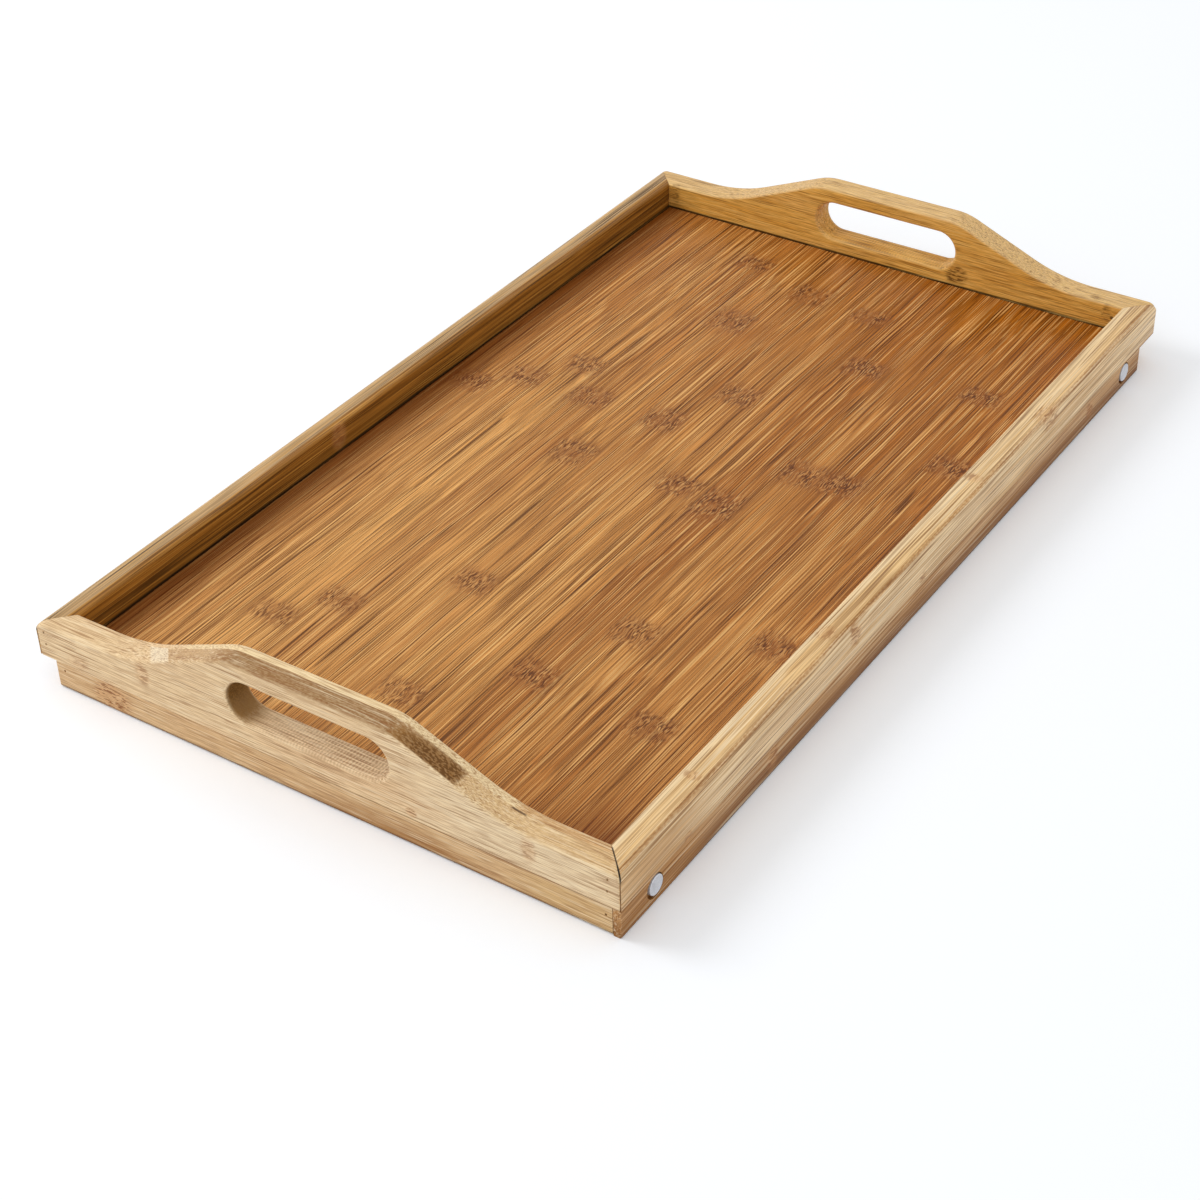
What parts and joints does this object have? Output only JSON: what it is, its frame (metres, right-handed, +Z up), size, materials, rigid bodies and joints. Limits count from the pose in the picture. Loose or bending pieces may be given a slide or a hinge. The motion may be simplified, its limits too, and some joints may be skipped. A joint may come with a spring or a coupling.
{
  "type": "bed tray",
  "caption": "Bamboo bed tray: a mitred rim round a caramel floor panel, raised end boards with handle slots, and leg frames that fold flat underneath.",
  "frame": {"origin": "middle of the tray's footprint, on the surface it rests on with the legs folded", "axes": "+X along the tray's length towards its right handle, +Y towards its back rail, +Z up"},
  "size_m": [0.5, 0.2986, 0.0545],
  "materials": {
    "pale_bamboo": "pale end-board bamboo, satin lacquer",
    "rail_bamboo": "light rail bamboo, satin lacquer",
    "caramel_bamboo": "caramel bamboo strips, satin lacquer",
    "leg_bamboo": "light leg bamboo, satin lacquer",
    "white_metal": "pale grey-white coated steel",
    "zinc": "zinc plated steel",
    "brad_steel": "dull brad wire"
  },
  "bodies": {
    "tray": {"left_end_board": "pale_bamboo", "right_end_board": "pale_bamboo", "front_rail": "rail_bamboo", "back_rail": "rail_bamboo", "floor_panel": "caramel_bamboo", "left_front_pivot_bolt": "white_metal", "left_back_pivot_bolt": "white_metal", "right_front_pivot_bolt": "white_metal", "right_back_pivot_bolt": "white_metal", "left_front_washer": "zinc", "left_back_washer": "zinc", "right_front_washer": "zinc", "right_back_washer": "zinc", "left_front_cap_nut": "zinc", "left_back_cap_nut": "zinc", "right_front_cap_nut": "zinc", "right_back_cap_nut": "zinc", "brad_left_front_top": "brad_steel", "brad_left_front_middle": "brad_steel", "brad_left_front_low": "brad_steel", "brad_left_back_top": "brad_steel", "brad_left_back_middle": "brad_steel", "brad_left_back_low": "brad_steel", "brad_right_front_top": "brad_steel", "brad_right_front_middle": "brad_steel", "brad_right_front_low": "brad_steel", "brad_right_back_top": "brad_steel", "brad_right_back_middle": "brad_steel", "brad_right_back_low": "brad_steel"},
    "left_legs": {"left_front_leg": "leg_bamboo", "left_back_leg": "leg_bamboo", "left_crossbar": "leg_bamboo", "left_front_crossbar_screw": "zinc", "left_back_crossbar_screw": "zinc"},
    "right_legs": {"right_front_leg": "leg_bamboo", "right_back_leg": "leg_bamboo", "right_crossbar": "leg_bamboo", "right_front_crossbar_screw": "zinc", "right_back_crossbar_screw": "zinc"}
  },
  "joints": [
    {"name": "left_leg_fold", "type": "hinge", "parent": "tray", "child": "left_legs", "pos_m": [-0.226, 0, 0.009], "axis": [0, 1, 0], "range_deg": [0, 100]},
    {"name": "right_leg_fold", "type": "hinge", "parent": "tray", "child": "right_legs", "pos_m": [0.2143, 0, 0.009], "axis": [0, -1, 0], "range_deg": [0, 100]}
  ]
}
